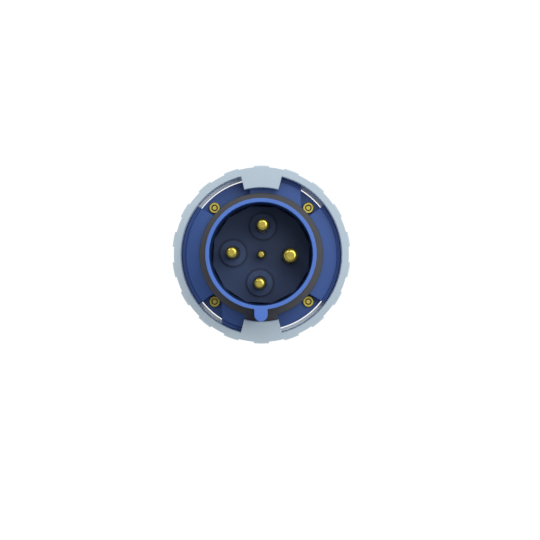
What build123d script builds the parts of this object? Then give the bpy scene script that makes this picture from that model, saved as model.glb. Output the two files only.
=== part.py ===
from build123d import *
import math
import os

# Watertight pin and sleeve plug, 63/60 A size, three poles and earth, with a bayonet locking ring.
# It stands on its gland nut with its face up: +Z runs along the axis towards the face,
# the key rib is at -Y and the origin is the middle of the nut's rear face.
# Lengths are in millimetres and angles in degrees, anticlockwise as seen from the face.

os.makedirs("parts", exist_ok=True)

# Overall and shared clearances
overall_length = 240.0
fit_gap = 0.05            # between a piece and the hole or bore that holds it
turning_gap = 0.3         # between the gland nut and the neck, and between the ring's lip and the sectors
ring_gap = 0.3            # between the locking ring's bore and the sectors
stop_gap = 0.35           # degrees between a stop tab and the sector it stops against
edge_break = 0.4          # chamfer on moulded edges that show
root = 1.0                # how deep a rib, lug or pad is sunk into the body that carries it
rim_round = 0.4           # round on both edges of the shroud's rim

# Shroud and key
shroud_r = 35.5
shroud_wall = 2.45
shroud_depth = 61.0       # from the rim down to the flange face
key_width = 8.5
key_height = 7.5          # the key's rounded end above the shroud

# Flange of the front housing
flange_depth = 22.0       # from the flange face to the rear plane of the front housing
seat_width = 5.1          # raised seat under the face gasket
seat_lobe_width = 20.8
pocket_depth = 9.0        # from the flange face to the floor of the screw pockets
screw_to_rim = 6.1        # from the cover screws to the outside of the flange's base
sector_stand = 2.45       # how far the sectors stand out of the base
sector_band = 2.55        # lower band along the rim of a sector
sector_step = 2.5
sector_foot = 1.0         # from the pocket floor down to the foot of what stands out
flange_wall = 3.5
root_wall = 5.75          # wall round the carrier, where its screws go in
core_gap = 3.0            # from that wall to the hollow of a sector
core_margin = 3.5         # degrees of wall at the ends of a hollow sector

# Each raised sector: start angle at the seat and at the rim, end angle at the seat and at the rim
side_sector = (-40.0, -37.4, 39.2, 38.6)
top_sector = (47.4, 60.1, 101.5, 98.8)

# Face gasket
gasket_overhang = 0.8     # past its seat
gasket_thickness = 3.0
gasket_lobe_width = 22.2
gasket_lobe_overlap = 2.4  # how far the lobe reaches under the lug

# Locking ring
ring_wall = 4.6
ring_chamfer = 0.9
lip_gap = 0.85            # between the lip and the base, light shows through it
lip_thickness = 3.0
ring_skirt = 15.0         # from the lip back to the ring's rear end
lug_gap = 1.6             # between the key and the lug
lug_half_angle = 14.7
lug_thickness = 7.0
lug_clearance = 1.0       # between the lug and the gasket
lug_ramp_length = 9.0     # slope under the lug's leading edge, which draws the socket in
lug_ramp_rise = 2.2
pad_count = 18
pad_height = 1.1
pad_angle = 10.2
pad_taper = 0.2           # degrees that each side of a pad slopes in
tab_height = 2.4
tab_taper = 0.4           # degrees
tab_overlap = 0.3         # degrees under the lug
tab_root = 3.0            # how far a tab reaches up beside its lug
tab_depth = 11.0          # how far the stop tabs reach below the lugs

# Contact carrier and pins
pin_inset = 14.05         # from the shroud's bore in to the circle of pins
pin_turn = -3.0           # the pin pattern's turn relative to the key
phase_r = 4.0
earth_r = 5.0
pilot_r = 2.5
phase_barrel_wall = 1.8   # how much thicker the terminal barrel is than its pin
earth_barrel_wall = 1.6
pilot_barrel_wall = 1.1
collar_width = 1.0
tip_depth = 12.0          # pin tips below the rim
pilot_tip_depth = 45.0
tip_round_share = 0.51    # round of a tip against its pin's radius
hole_gap = 0.2            # round a pin inside the carrier
well_gap = 0.9            # round a pin where it leaves the carrier
well_depth = 1.6
flat_count = 12           # flats round the carrier's front
flat_gap = 1.0            # between the middle of a flat and the shroud's bore
flat_height = 6.5
undercut = 0.2
undercut_length = 3.0
boss_r = 8.6
boss_height = 2.0
carrier_flange_gap = 0.4
carrier_flange_thickness = 5.0
retainer_thickness = 6.0
collar_thickness = 3.0
barrel_length = 30.0
conductor_stop = 10.0     # solid brass above the conductor hole
conductor_share = 0.58    # conductor hole against its barrel
terminal_height = 10.0    # terminal screws above the barrels' ends
seal_thickness = 2.2
seal_width = 1.3
carrier_seal_depth = 1.6
carrier_seal_height = 2.2
carrier_seal_drop = 10.0  # seal groove below the flange face

# Screws
cover_head_r = 3.75
cover_head_height = 2.8
cover_head_gap = 0.4      # between a head and the gasket's seat
cover_head_edge = 0.4
cover_shank_r = 2.0
cover_point_length = 1.2
cover_point_r = 1.4
cover_screw_length = 25.0
cover_hole_gap = 0.25
cover_recess_r = 2.25
cover_recess_depth = 2.0
cover_post_r = 1.4
cover_post_drop = 0.4
column_r = 4.6
column_floor = 3.0
hole_spare = 1.0          # a blind hole is this much deeper than its screw
retainer_head_r = 2.7
retainer_head_height = 2.0
retainer_shank_r = 1.5
retainer_screw_length = 19.0
terminal_screw_r = 3.0
terminal_stand = 3.2      # how far a terminal screw stands out of its barrel
pilot_screw_r = 2.0
slot_width = 1.0
slot_depth = 1.2

# Rear housing and its gasket
housing_gasket_thickness = 1.5
mouth_length = 11.5
shoulder_length = 17.0
shoulder_drop = 7.85      # from the mouth's radius to the front of the grip
shoulder_round = 5.0
waist_round = 14.0
tail_round = 8.0
grip_flare = 0.5          # the grip's rear is this much wider than the gland nut
housing_wall = 3.5
tail_height = 16.0
tail_inset = 2.0
rib_count = 16
rib_height = 1.6
rib_width = 4.0
rib_margin = 6.0

# Cable gland
neck_r = 29.9
neck_wall = 4.9
neck_end = 16.0           # height of the neck's end above the nut's rear face
neck_chamfer = 1.0
thread_depth = 1.0        # the ridges of the thread are left out here, so both pieces have their root size
nut_length = 46.0
nut_shell = 5.8
nut_gap = 1.5
nut_wall = 4.0
nut_chamfer = 1.5
nut_flutes = 12
flute_r = 4.0
flute_depth = 1.6
ledge_width = 4.0
ledge_height = 6.0
grommet_recess = 4.0      # from the neck's end in to the grommet
grommet_length = 24.0
grommet_bore_r = 11.5
grommet_groove = 1.2
grommet_groove_width = 2.0
washer_thickness = 2.0
washer_margin = 2.5       # washer bore against the grommet's
cage_base = 3.0
cage_wall = 3.2
cage_end = 5.5            # height of the finger tips above the nut's rear face
cage_fingers = 12
cage_slot = 2.2
cage_gap = 0.5            # between the fingers and the nut's cone
cone_drop = 2.0           # from the neck's end down to the top of the cone
entry_lip = 6.2           # from the cage's outside in to the nut's cable hole

# Radii that follow from others, from the shroud outwards
bore_r = shroud_r - shroud_wall
root_r = bore_r + root_wall
seat_r = shroud_r + seat_width
gasket_r = seat_r + gasket_overhang
cover_screw_circle_r = seat_r + cover_head_gap + cover_head_r
body_r = cover_screw_circle_r + screw_to_rim
sector_r = body_r + sector_stand
sector_step_r = sector_r - sector_band
lip_r = body_r + lip_gap
ring_bore_r = sector_r + ring_gap
ring_r = ring_bore_r + ring_wall
pad_r = ring_r + pad_height
tab_r = ring_bore_r - tab_height
key_reach = shroud_r + key_height
lug_r = key_reach + lug_gap
gasket_lobe_r = lug_r + gasket_lobe_overlap
seat_lobe_r = gasket_lobe_r - gasket_overhang
carrier_flange_r = root_r - carrier_flange_gap
retainer_screw_circle_r = bore_r + root_wall / 2
pin_circle_r = bore_r - pin_inset

# Radii of the gland, from the neck in and out
neck_bore_r = neck_r - neck_wall
ledge_r = neck_bore_r - ledge_width
thread_root_r = neck_r - thread_depth
nut_bore_r = neck_r + turning_gap + thread_depth
nut_r = nut_bore_r + nut_shell
grip_rear_r = nut_r + grip_flare
tail_r = nut_r - tail_inset
grip_front_r = body_r - shoulder_drop
washer_bore_r = grommet_bore_r + washer_margin
cage_r = neck_bore_r - turning_gap
entry_r = cage_r - entry_lip

# Heights, from the rim down
rim_z = overall_length
face_z = rim_z - shroud_depth
pocket_z = face_z - pocket_depth
sector_foot_z = pocket_z - sector_foot
joint_z = face_z - flange_depth
mouth_z = joint_z - housing_gasket_thickness
lug_rear_z = face_z + gasket_thickness + lug_clearance
ring_front_z = lug_rear_z + lug_thickness
lip_front_z = sector_foot_z - turning_gap
lip_rear_z = lip_front_z - lip_thickness
ring_rear_z = lip_rear_z - ring_skirt
boss_z = face_z + boss_height
carrier_rear_z = joint_z - carrier_flange_thickness
retainer_rear_z = carrier_rear_z - retainer_thickness
collar_front_z = carrier_rear_z + collar_thickness
seal_front_z = collar_front_z + seal_thickness
barrel_end_z = carrier_rear_z - barrel_length
terminal_z = barrel_end_z + terminal_height
shoulder_z = mouth_z - mouth_length
grip_front_z = shoulder_z - shoulder_length

# Heights, from the nut's rear face up
cone_top_z = neck_end - cone_drop
grommet_rear_z = neck_end + grommet_recess
grommet_front_z = grommet_rear_z + grommet_length
washer_front_z = grommet_rear_z - turning_gap
washer_rear_z = washer_front_z - washer_thickness
cage_front_z = washer_rear_z
tail_z = nut_length + nut_gap
grip_rear_z = tail_z + tail_height


def level(radius, low, high):
    """A round plate of one radius between two heights."""
    return Pos(0, 0, low) * Cylinder(radius, high - low, align=(Align.CENTER, Align.CENTER, Align.MIN))


def turned(*points):
    """A solid of revolution about Z from (radius, height) points."""
    return revolve(Plane.XZ * make_face(Polyline(*points, close=True)), Axis.Z)


def polar(radius, angle):
    """A point in the XY plane."""
    return (radius * math.cos(math.radians(angle)), radius * math.sin(math.radians(angle)))


def sector(inner_r, outer_r, angles, low, high):
    """A piece of a ring. The angles are start inside, start outside, end inside, end outside."""
    start_in, start_out, end_in, end_out = angles
    outer = CenterArc((0, 0), outer_r, start_out, end_out - start_out)
    inner = CenterArc((0, 0), inner_r, start_in, end_in - start_in)
    first = Line(polar(inner_r, start_in), polar(outer_r, start_out))
    last = Line(polar(inner_r, end_in), polar(outer_r, end_out))
    return Pos(0, 0, low) * extrude(make_face([outer, inner, first, last]), high - low)


def straight(half_angle, middle):
    """The four angles of a sector with radial ends."""
    return (middle - half_angle, middle - half_angle, middle + half_angle, middle + half_angle)


def on_circle(radius, angle, solid):
    """The solid moved out along X, then turned about Z."""
    return Rot(0, 0, angle) * Pos(radius, 0, 0) * solid


def eased(solid):
    """The solid with a chamfer round its top face."""
    return chamfer(solid.faces().sort_by(Axis.Z)[-1].edges(), edge_break)


def all_sectors():
    """The four raised sectors: two at the sides, one above and one below."""
    for turn in (0, 180):
        for angles in (side_sector, top_sector):
            yield tuple(angle + turn for angle in angles)


def screw_angles():
    """The cover screws stand on a square."""
    return [45 + 90 * index for index in range(4)]


def key_rib(gap, low, high):
    """The key on the shroud, or the slot that clears it."""
    half = key_width / 2 + gap
    end_y = key_reach - key_width / 2
    web = Pos(0, -(bore_r + shroud_wall / 2 + end_y) / 2, (low + high) / 2) * Box(
        2 * half, end_y - bore_r - shroud_wall / 2, high - low
    )
    return web + Pos(0, -end_y, 0) * level(half, low, high)


def lobe(width, radius, low, high):
    """The widening round the key."""
    strip = Pos(0, -radius / 2, (low + high) / 2) * Box(width, radius, high - low)
    return strip & level(radius, low, high)


def flange():
    """Base, raised seat and raised sectors, hollow from behind."""
    body = level(body_r, joint_z, pocket_z)
    body += level(seat_r, joint_z, face_z)
    body += lobe(seat_lobe_width, seat_lobe_r, joint_z, face_z)
    for angles in all_sectors():
        raised = sector(seat_r - root, sector_r, angles, joint_z, face_z)
        body += eased(raised & level(sector_step_r, joint_z, face_z))
        body += eased(sector(seat_r - root, sector_r, angles, sector_foot_z, face_z - sector_step))
    cavity = level(body_r - flange_wall, joint_z, pocket_z - flange_wall)
    cavity -= level(root_r, joint_z, pocket_z)
    for angles in all_sectors():
        start, end = max(angles[:2]) + core_margin, min(angles[2:]) - core_margin
        core_r = body_r - flange_wall
        cavity += sector(root_r + core_gap, core_r, (start, start, end, end), joint_z, face_z - flange_wall)
    for angle in screw_angles():
        cavity -= on_circle(cover_screw_circle_r, angle, level(column_r, joint_z, pocket_z))
    return body - cavity


def front_housing():
    """Flange, shroud and key, moulded in one."""
    shroud = level(shroud_r, joint_z, rim_z) + key_rib(0, face_z, rim_z)
    shroud -= level(bore_r, joint_z, rim_z)
    shroud = fillet(shroud.faces().sort_by(Axis.Z)[-1].edges(), min(rim_round, 0.4 * shroud_wall))
    body = flange() - level(bore_r, joint_z, rim_z) + shroud
    for angle in screw_angles():
        hole = level(cover_shank_r + cover_hole_gap, joint_z, pocket_z)
        body -= on_circle(cover_screw_circle_r, angle, hole)
    screw_top_z = retainer_rear_z + retainer_screw_length
    for angle in screw_angles():
        hole = level(retainer_shank_r + fit_gap, joint_z, screw_top_z + hole_spare)
        body -= on_circle(retainer_screw_circle_r, angle + pin_turn, hole)
    return body


def face_gasket():
    """Flat gasket round the shroud and its key."""
    top_z = face_z + gasket_thickness
    body = level(gasket_r, face_z, top_z)
    body += lobe(gasket_lobe_width, gasket_lobe_r, face_z, top_z)
    body = eased(body)
    body -= level(shroud_r + fit_gap, face_z, top_z)
    return body - key_rib(fit_gap, face_z, top_z)


def ring_envelope():
    """The outside of the locking ring, with its edges broken."""
    return turned(
        (0, ring_rear_z),
        (pad_r - 2 * ring_chamfer, ring_rear_z),
        (pad_r, ring_rear_z + 2 * ring_chamfer),
        (pad_r, ring_front_z - ring_chamfer),
        (pad_r - ring_chamfer, ring_front_z),
        (0, ring_front_z),
    )


def ring_lug(turn):
    """One lug with its ramp below the leading edge, and the stop tab behind it."""
    lug = sector(lug_r, ring_bore_r + root, straight(lug_half_angle, 90), lug_rear_z, ring_front_z)
    lead_x = -lug_r * math.sin(math.radians(lug_half_angle)) - root
    end_y = ring_bore_r * math.cos(math.radians(lug_half_angle))
    ramp = make_face(Polyline(
        (lead_x, lug_rear_z), (lead_x + lug_ramp_length, lug_rear_z), (lead_x, lug_rear_z + lug_ramp_rise),
        close=True,
    ))
    lug -= Pos(0, end_y, 0) * extrude(Plane.XZ * ramp, ring_bore_r - lug_r)
    stop_angle = min(top_sector[2:]) + stop_gap
    tab_end = 90 + lug_half_angle - tab_overlap
    tab_angles = (stop_angle + tab_taper, stop_angle, tab_end, tab_end)
    tab = sector(tab_r, ring_bore_r + root, tab_angles, lug_rear_z - tab_depth, lug_rear_z + tab_root)
    return Rot(0, 0, turn) * (lug + tab)


def locking_ring():
    """Bayonet ring that turns on the sectors, with its lip behind them."""
    body = turned(
        (ring_bore_r, ring_front_z),
        (ring_r, ring_front_z),
        (ring_r, ring_rear_z),
        (ring_bore_r, ring_rear_z),
        (ring_bore_r, lip_rear_z),
        (lip_r, lip_rear_z),
        (lip_r, lip_front_z),
        (ring_bore_r, lip_front_z),
    )
    body += ring_lug(0) + ring_lug(180)
    front = body.faces().sort_by(Axis.Z)[-1]
    body = chamfer([edge for edge in front.edges() if edge.length < 2 * math.pi * ring_r - 1], edge_break)
    half = pad_angle / 2
    for index in range(pad_count):
        middle = 90 + index * 360 / pad_count
        slope = half - pad_taper
        angles = (middle - half, middle - slope, middle + half, middle + slope)
        body += sector(ring_r - root, pad_r, angles, ring_rear_z, ring_front_z)
    return body & ring_envelope()


def pin_places():
    """Name, angle, pin radius and barrel radius of the pins on the circle."""
    return [
        ("earth_pin", pin_turn, earth_r, earth_r + earth_barrel_wall),
        ("phase_pin_1", 90 + pin_turn, phase_r, phase_r + phase_barrel_wall),
        ("phase_pin_2", 180 + pin_turn, phase_r, phase_r + phase_barrel_wall),
        ("phase_pin_3", 270 + pin_turn, phase_r, phase_r + phase_barrel_wall),
    ]


def contact_pin(radius, barrel_r, tip_z, neck_z, screw_r):
    """A turned pin: rounded tip, undercut where it leaves the carrier, collar and terminal barrel."""
    tip_round = radius * tip_round_share
    side = Polyline(
        (radius, tip_z - tip_round),
        (radius, neck_z),
        (radius - undercut, neck_z),
        (radius - undercut, neck_z - undercut_length),
        (radius, neck_z - undercut_length),
        (radius, collar_front_z),
        (barrel_r + collar_width, collar_front_z),
        (barrel_r + collar_width, carrier_rear_z),
        (barrel_r, carrier_rear_z),
        (barrel_r, barrel_end_z),
        (0, barrel_end_z),
        (0, tip_z),
        (radius - tip_round, tip_z),
    )
    tip = CenterArc((radius - tip_round, tip_z - tip_round), tip_round, 0, 90)
    pin = revolve(Plane.XZ * make_face([side, tip]), Axis.Z)
    pin -= level(barrel_r * conductor_share, barrel_end_z, carrier_rear_z - conductor_stop)
    screw_hole = Cylinder(screw_r + fit_gap, 2 * barrel_r, align=(Align.CENTER, Align.CENTER, Align.MIN))
    return pin - Pos(0, 0, terminal_z) * Rot(0, 90, 0) * screw_hole


def terminal_screw(screw_r, barrel_r):
    """A slotted clamping screw that lies along X, in the side of a barrel whose axis is Z."""
    start = barrel_r * conductor_share / 2
    length = barrel_r - start + terminal_stand
    body = Cylinder(screw_r, length, align=(Align.CENTER, Align.CENTER, Align.MIN))
    slot = Pos(0, 0, length - slot_depth / 2) * Box(3 * screw_r, slot_width, slot_depth)
    return Pos(start, 0, terminal_z) * Rot(0, 90, 0) * (body - slot)


def seal_ring(radius):
    """A square seal ring round a pin, under the carrier."""
    body = level(radius + fit_gap + seal_width, collar_front_z, seal_front_z - fit_gap)
    return body - level(radius + fit_gap, collar_front_z, seal_front_z)


def pin_hole(radius, barrel_r, top_z):
    """The stepped hole that holds a pin, its seal and its collar, with a shallow well at the front."""
    hole = level(barrel_r + collar_width + fit_gap, carrier_rear_z, collar_front_z)
    hole += level(radius + seal_width + 2 * fit_gap, collar_front_z, seal_front_z)
    hole += level(radius + hole_gap, seal_front_z, top_z)
    return hole + level(radius + well_gap, top_z - well_depth, top_z)


def carrier_front():
    """The round of the carrier that fills the shroud, with flats round its front."""
    turn = pin_turn + 180 / flat_count
    flats = RegularPolygon(bore_r - flat_gap, flat_count, major_radius=False, rotation=turn)
    round_part = level(bore_r - fit_gap, joint_z, face_z - flat_height)
    front = level(bore_r - fit_gap, face_z - flat_height, face_z)
    return round_part + (front & Pos(0, 0, face_z - flat_height) * extrude(flats, flat_height))


def contact_carrier():
    """The insulator at the bottom of the shroud."""
    body = carrier_front() + level(carrier_flange_r, carrier_rear_z, joint_z)
    for name, angle, radius, barrel_r in pin_places():
        if name != "earth_pin":
            body += on_circle(pin_circle_r, angle, level(boss_r, face_z - boss_height, boss_z))
    for name, angle, radius, barrel_r in pin_places():
        top_z = face_z if name == "earth_pin" else boss_z
        body -= on_circle(pin_circle_r, angle, pin_hole(radius, barrel_r, top_z))
    body -= pin_hole(pilot_r, pilot_r + pilot_barrel_wall, face_z)
    groove_z = face_z - carrier_seal_drop
    groove = level(bore_r, groove_z, groove_z + carrier_seal_height)
    body -= groove - level(bore_r - carrier_seal_depth, groove_z, groove_z + carrier_seal_height)
    for angle in screw_angles():
        hole = level(retainer_shank_r + hole_gap, carrier_rear_z, joint_z)
        body -= on_circle(retainer_screw_circle_r, angle + pin_turn, hole)
    return body


def carrier_seal():
    """Seal ring in the carrier's groove."""
    low = face_z - carrier_seal_drop + fit_gap
    high = low + carrier_seal_height - 2 * fit_gap
    return level(bore_r - fit_gap, low, high) - level(bore_r - carrier_seal_depth + fit_gap, low, high)


def pin_retainer():
    """Plate behind the carrier that keeps the pins' collars in."""
    body = level(carrier_flange_r, retainer_rear_z, carrier_rear_z)
    for name, angle, radius, barrel_r in pin_places():
        hole = level(barrel_r + fit_gap, retainer_rear_z, carrier_rear_z)
        body -= on_circle(pin_circle_r, angle, hole)
    body -= level(pilot_r + pilot_barrel_wall + fit_gap, retainer_rear_z, carrier_rear_z)
    for angle in screw_angles():
        hole = level(retainer_shank_r + hole_gap, retainer_rear_z, carrier_rear_z)
        body -= on_circle(retainer_screw_circle_r, angle + pin_turn, hole)
    return body


def retainer_screw():
    """A slotted screw whose head bears on the rear of the plate."""
    head_z = retainer_rear_z - retainer_head_height
    body = level(retainer_head_r, head_z, retainer_rear_z)
    body += level(retainer_shank_r, retainer_rear_z, retainer_rear_z + retainer_screw_length)
    slot = Pos(0, 0, head_z + slot_depth / 2) * Box(3 * retainer_head_r, slot_width, slot_depth)
    return body - slot


def cover_screw():
    """A brass screw with a round recess that has a post in its middle."""
    head_top = pocket_z + cover_head_height
    recess_z = head_top - cover_recess_depth
    end_z = pocket_z - cover_screw_length
    return turned(
        (0, end_z),
        (cover_point_r, end_z),
        (cover_shank_r, end_z + cover_point_length),
        (cover_shank_r, pocket_z),
        (cover_head_r, pocket_z),
        (cover_head_r, head_top - cover_head_edge),
        (cover_head_r - cover_head_edge, head_top),
        (cover_recess_r, head_top),
        (cover_recess_r, recess_z),
        (cover_post_r, recess_z),
        (cover_post_r, head_top - cover_post_drop),
        (0, head_top - cover_post_drop),
    )


def housing_gasket():
    """Flat gasket between the housings, with an eye round each cover screw."""
    body = level(body_r, mouth_z, joint_z) - level(body_r - flange_wall, mouth_z, joint_z)
    for angle in screw_angles():
        body += on_circle(cover_screw_circle_r, angle, level(column_r, mouth_z, joint_z))
    for angle in screw_angles():
        hole = level(cover_shank_r + cover_hole_gap, mouth_z, joint_z)
        body -= on_circle(cover_screw_circle_r, angle, hole)
    return body


def housing_shell():
    """The turned shape of the rear housing: mouth, shoulder, tapered grip, tail and the gland's neck."""
    wall = housing_wall
    outside = FilletPolyline(
        (body_r, mouth_z),
        (body_r, shoulder_z),
        (grip_front_r, grip_front_z),
        (grip_rear_r, grip_rear_z),
        (tail_r, tail_z),
        radius=[shoulder_round, waist_round, tail_round],
    )
    inside = Polyline(
        (tail_r, tail_z),
        (thread_root_r, tail_z),
        (thread_root_r, neck_end + neck_chamfer),
        (thread_root_r - neck_chamfer, neck_end),
        (neck_bore_r, neck_end),
        (neck_bore_r, grommet_front_z),
        (ledge_r, grommet_front_z),
        (ledge_r, grommet_front_z + ledge_height),
        (grip_rear_r - wall, grip_rear_z + wall),
        (grip_front_r - wall, grip_front_z),
        (body_r - wall, shoulder_z),
        (body_r - wall, mouth_z),
        (body_r, mouth_z),
    )
    return revolve(Plane.XZ * make_face([outside, inside]), Axis.Z)


def grip_rib(angle):
    """One raised rib that follows the taper of the grip."""
    low, high = grip_rear_z + rib_margin, grip_front_z - rib_margin
    lean = (grip_front_r - grip_rear_r) / (grip_front_z - grip_rear_z)
    low_r = grip_rear_r + lean * (low - grip_rear_z)
    high_r = grip_rear_r + lean * (high - grip_rear_z)
    side = make_face(Polyline(
        (low_r - root, low), (low_r, low), (low_r + rib_height, low + 2 * rib_height),
        (high_r + rib_height, high - 2 * rib_height), (high_r, high), (high_r - root, high), close=True,
    ))
    return Rot(0, 0, angle) * extrude(Plane.XZ * side, rib_width / 2, both=True)


def rear_housing():
    """Handle with the wiring chamber, four screw columns and the neck of the gland."""
    body = housing_shell()
    column_end_z = pocket_z - cover_screw_length - column_floor
    half_wall = housing_wall / 2
    inside = turned((0, mouth_z), (body_r - half_wall, mouth_z), (body_r - half_wall, shoulder_z),
                    (grip_front_r - half_wall, grip_front_z), (0, grip_front_z))
    for angle in screw_angles():
        column = on_circle(cover_screw_circle_r, angle, level(column_r, column_end_z, mouth_z))
        body += column & inside
    for angle in screw_angles():
        hole = level(cover_shank_r + fit_gap, pocket_z - cover_screw_length - hole_spare, mouth_z)
        body -= on_circle(cover_screw_circle_r, angle, hole)
    for index in range(rib_count):
        body += grip_rib(index * 360 / rib_count)
    return body


def gland_grommet():
    """Rubber cable seal with two grooves round its outside."""
    outer_r = neck_bore_r - fit_gap
    body = level(outer_r, grommet_rear_z, grommet_front_z)
    for share in (1 / 3, 2 / 3):
        low = grommet_rear_z + share * grommet_length - grommet_groove_width / 2
        high = low + grommet_groove_width
        body -= level(outer_r, low, high) - level(outer_r - grommet_groove, low, high)
    return body - level(grommet_bore_r, grommet_rear_z, grommet_front_z)


def thrust_washer():
    """Flat washer between the cage and the grommet."""
    return level(cage_r, washer_rear_z, washer_front_z) - level(washer_bore_r, washer_rear_z, washer_front_z)


def cone_radius(z):
    """Radius of the nut's inner cone at a height."""
    share = (z - nut_wall) / (cone_top_z - nut_wall)
    return entry_r + cage_gap + share * entry_lip


def clamping_cage():
    """Ring of fingers that the nut's cone presses onto the cable."""
    tip_r = cone_radius(cage_end) - cage_gap
    body = turned(
        (cage_r - cage_wall, cage_front_z),
        (cage_r, cage_front_z),
        (cage_r, cone_top_z),
        (tip_r, cage_end),
        (tip_r - cage_wall, cage_end),
        (cage_r - cage_wall, cone_top_z),
    )
    slot_height = cage_front_z - cage_base - cage_end
    slot = Pos(cage_r, 0, cage_end + slot_height / 2) * Box(cage_r, cage_slot, slot_height)
    for index in range(cage_fingers):
        body -= Rot(0, 0, index * 360 / cage_fingers) * slot
    return body


def gland_nut():
    """Fluted nut on the neck, with the cone that closes the cage."""
    body = turned(
        (entry_r, 0),
        (nut_r - nut_chamfer, 0),
        (nut_r, nut_chamfer),
        (nut_r, nut_length - nut_chamfer),
        (nut_r - nut_chamfer, nut_length),
        (nut_bore_r, nut_length),
        (nut_bore_r, cone_top_z),
        (cone_radius(cone_top_z), cone_top_z),
        (cone_radius(nut_wall), nut_wall),
        (entry_r, nut_wall),
    )
    for index in range(nut_flutes):
        flute = level(flute_r, nut_wall, nut_length)
        body -= on_circle(nut_r + flute_r - flute_depth, (index + 0.5) * 360 / nut_flutes, flute)
    return body


def save(name, solid):
    """Writes one node."""
    solid.label = name
    export_step(solid, f"parts/{name}.step")


def save_pins():
    """The pins with their seals and terminal screws."""
    for index, (name, angle, radius, barrel_r) in enumerate(pin_places()):
        neck_z = face_z if name == "earth_pin" else boss_z
        pin = contact_pin(radius, barrel_r, rim_z - tip_depth, neck_z, terminal_screw_r)
        save(name, on_circle(pin_circle_r, angle, pin))
        save(f"pin_seal_{index + 1}", on_circle(pin_circle_r, angle, seal_ring(radius)))
        screw_name = name.replace("_pin", "_terminal_screw")
        save(screw_name, on_circle(pin_circle_r, angle, terminal_screw(terminal_screw_r, barrel_r)))
    barrel_r = pilot_r + pilot_barrel_wall
    pilot = contact_pin(pilot_r, barrel_r, rim_z - pilot_tip_depth, face_z, pilot_screw_r)
    save("pilot_pin", Rot(0, 0, 45 + pin_turn) * pilot)
    save("pin_seal_5", seal_ring(pilot_r))
    save("pilot_terminal_screw", Rot(0, 0, 45 + pin_turn) * terminal_screw(pilot_screw_r, barrel_r))


def save_screws():
    """The four cover screws and the four retainer screws."""
    for index, angle in enumerate(screw_angles()):
        save(f"cover_screw_{index + 1}", on_circle(cover_screw_circle_r, angle, cover_screw()))
        screw = on_circle(retainer_screw_circle_r, angle + pin_turn, retainer_screw())
        save(f"retainer_screw_{index + 1}", screw)


save("locking_ring", locking_ring())
save("front_housing", front_housing())
save("face_gasket", face_gasket())
save("contact_carrier", contact_carrier())
save("carrier_seal", carrier_seal())
save("pin_retainer", pin_retainer())
save_pins()
save_screws()
save("housing_gasket", housing_gasket())
save("rear_housing", rear_housing())
save("gland_grommet", gland_grommet())
save("thrust_washer", thrust_washer())
save("clamping_cage", clamping_cage())
save("gland_nut", gland_nut())
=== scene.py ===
# %% [markdown]
# A watertight pin and sleeve plug, seen straight at its face.
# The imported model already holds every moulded, turned and cut piece at its real size. This lesson
# gives those pieces their finishes, adds the gland's threads, and sets up a pale studio whose
# camera looks down on the plug as it stands on its gland nut.

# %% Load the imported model
import math
from collections import namedtuple
import bmesh
import bpy
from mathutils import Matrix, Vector


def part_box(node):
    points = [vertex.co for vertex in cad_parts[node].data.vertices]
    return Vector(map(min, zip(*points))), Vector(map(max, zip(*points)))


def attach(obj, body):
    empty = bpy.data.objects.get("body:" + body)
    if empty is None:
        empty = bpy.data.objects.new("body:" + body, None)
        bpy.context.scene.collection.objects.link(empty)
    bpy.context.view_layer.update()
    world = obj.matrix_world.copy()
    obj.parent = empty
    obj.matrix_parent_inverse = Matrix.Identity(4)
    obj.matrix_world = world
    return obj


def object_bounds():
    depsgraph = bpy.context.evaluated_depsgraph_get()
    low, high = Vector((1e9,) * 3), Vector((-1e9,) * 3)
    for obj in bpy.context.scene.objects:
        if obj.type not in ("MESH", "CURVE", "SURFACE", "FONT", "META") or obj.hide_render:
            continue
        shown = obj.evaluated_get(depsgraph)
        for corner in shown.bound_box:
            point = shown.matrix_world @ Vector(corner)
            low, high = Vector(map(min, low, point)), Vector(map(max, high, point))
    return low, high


MM = 0.001


def in_mm(values):
    """Lengths in metres as millimetres, rounded for print."""
    return [round(value / MM, 2) for value in values]


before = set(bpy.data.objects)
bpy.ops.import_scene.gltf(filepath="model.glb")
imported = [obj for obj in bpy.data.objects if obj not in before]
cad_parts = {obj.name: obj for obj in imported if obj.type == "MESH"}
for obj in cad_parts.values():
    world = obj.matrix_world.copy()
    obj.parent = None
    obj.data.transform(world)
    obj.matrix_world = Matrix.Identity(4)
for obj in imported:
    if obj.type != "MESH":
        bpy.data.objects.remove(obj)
cad_low, cad_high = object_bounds()
print("packed model, in mm:", in_mm(cad_high - cad_low))

# %% [markdown]
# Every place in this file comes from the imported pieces, so a change of size there is followed
# here. A node's box gives its lowest and highest corner in metres, and the distance of a mesh's
# points from the axis gives the radii that a box can't.

# %% Measure the main pieces
RIM_BAND = 2 * MM    # the shroud's bore is measured this near to its rim
REAR_BAND = 1 * MM   # and the ring's bore this near to its rear end


def radii(name, low=-math.inf, high=math.inf):
    """Smallest and largest distance from the axis of a node's points between two heights."""
    points = [v.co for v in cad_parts[name].data.vertices if low <= v.co.z <= high]
    spans = [math.hypot(point.x, point.y) for point in points]
    return min(spans), max(spans)


rim_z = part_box("front_housing")[1].z
face_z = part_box("face_gasket")[0].z
ring_low, ring_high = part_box("locking_ring")
shroud_bore_r = radii("front_housing", rim_z - RIM_BAND)[0]
ring_bore_r = radii("locking_ring", ring_low.z, ring_low.z + REAR_BAND)[0]
pad_r = radii("locking_ring")[1]
nut_r = radii("gland_nut")[1]
print("heights of rim, face and ring front, in mm:", in_mm((rim_z, face_z, ring_high.z)))
print("radii of shroud and ring bore, in mm:", in_mm((shroud_bore_r, ring_bore_r)))
print("radii of ring pads and nut, in mm:", in_mm((pad_r, nut_r)))

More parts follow.
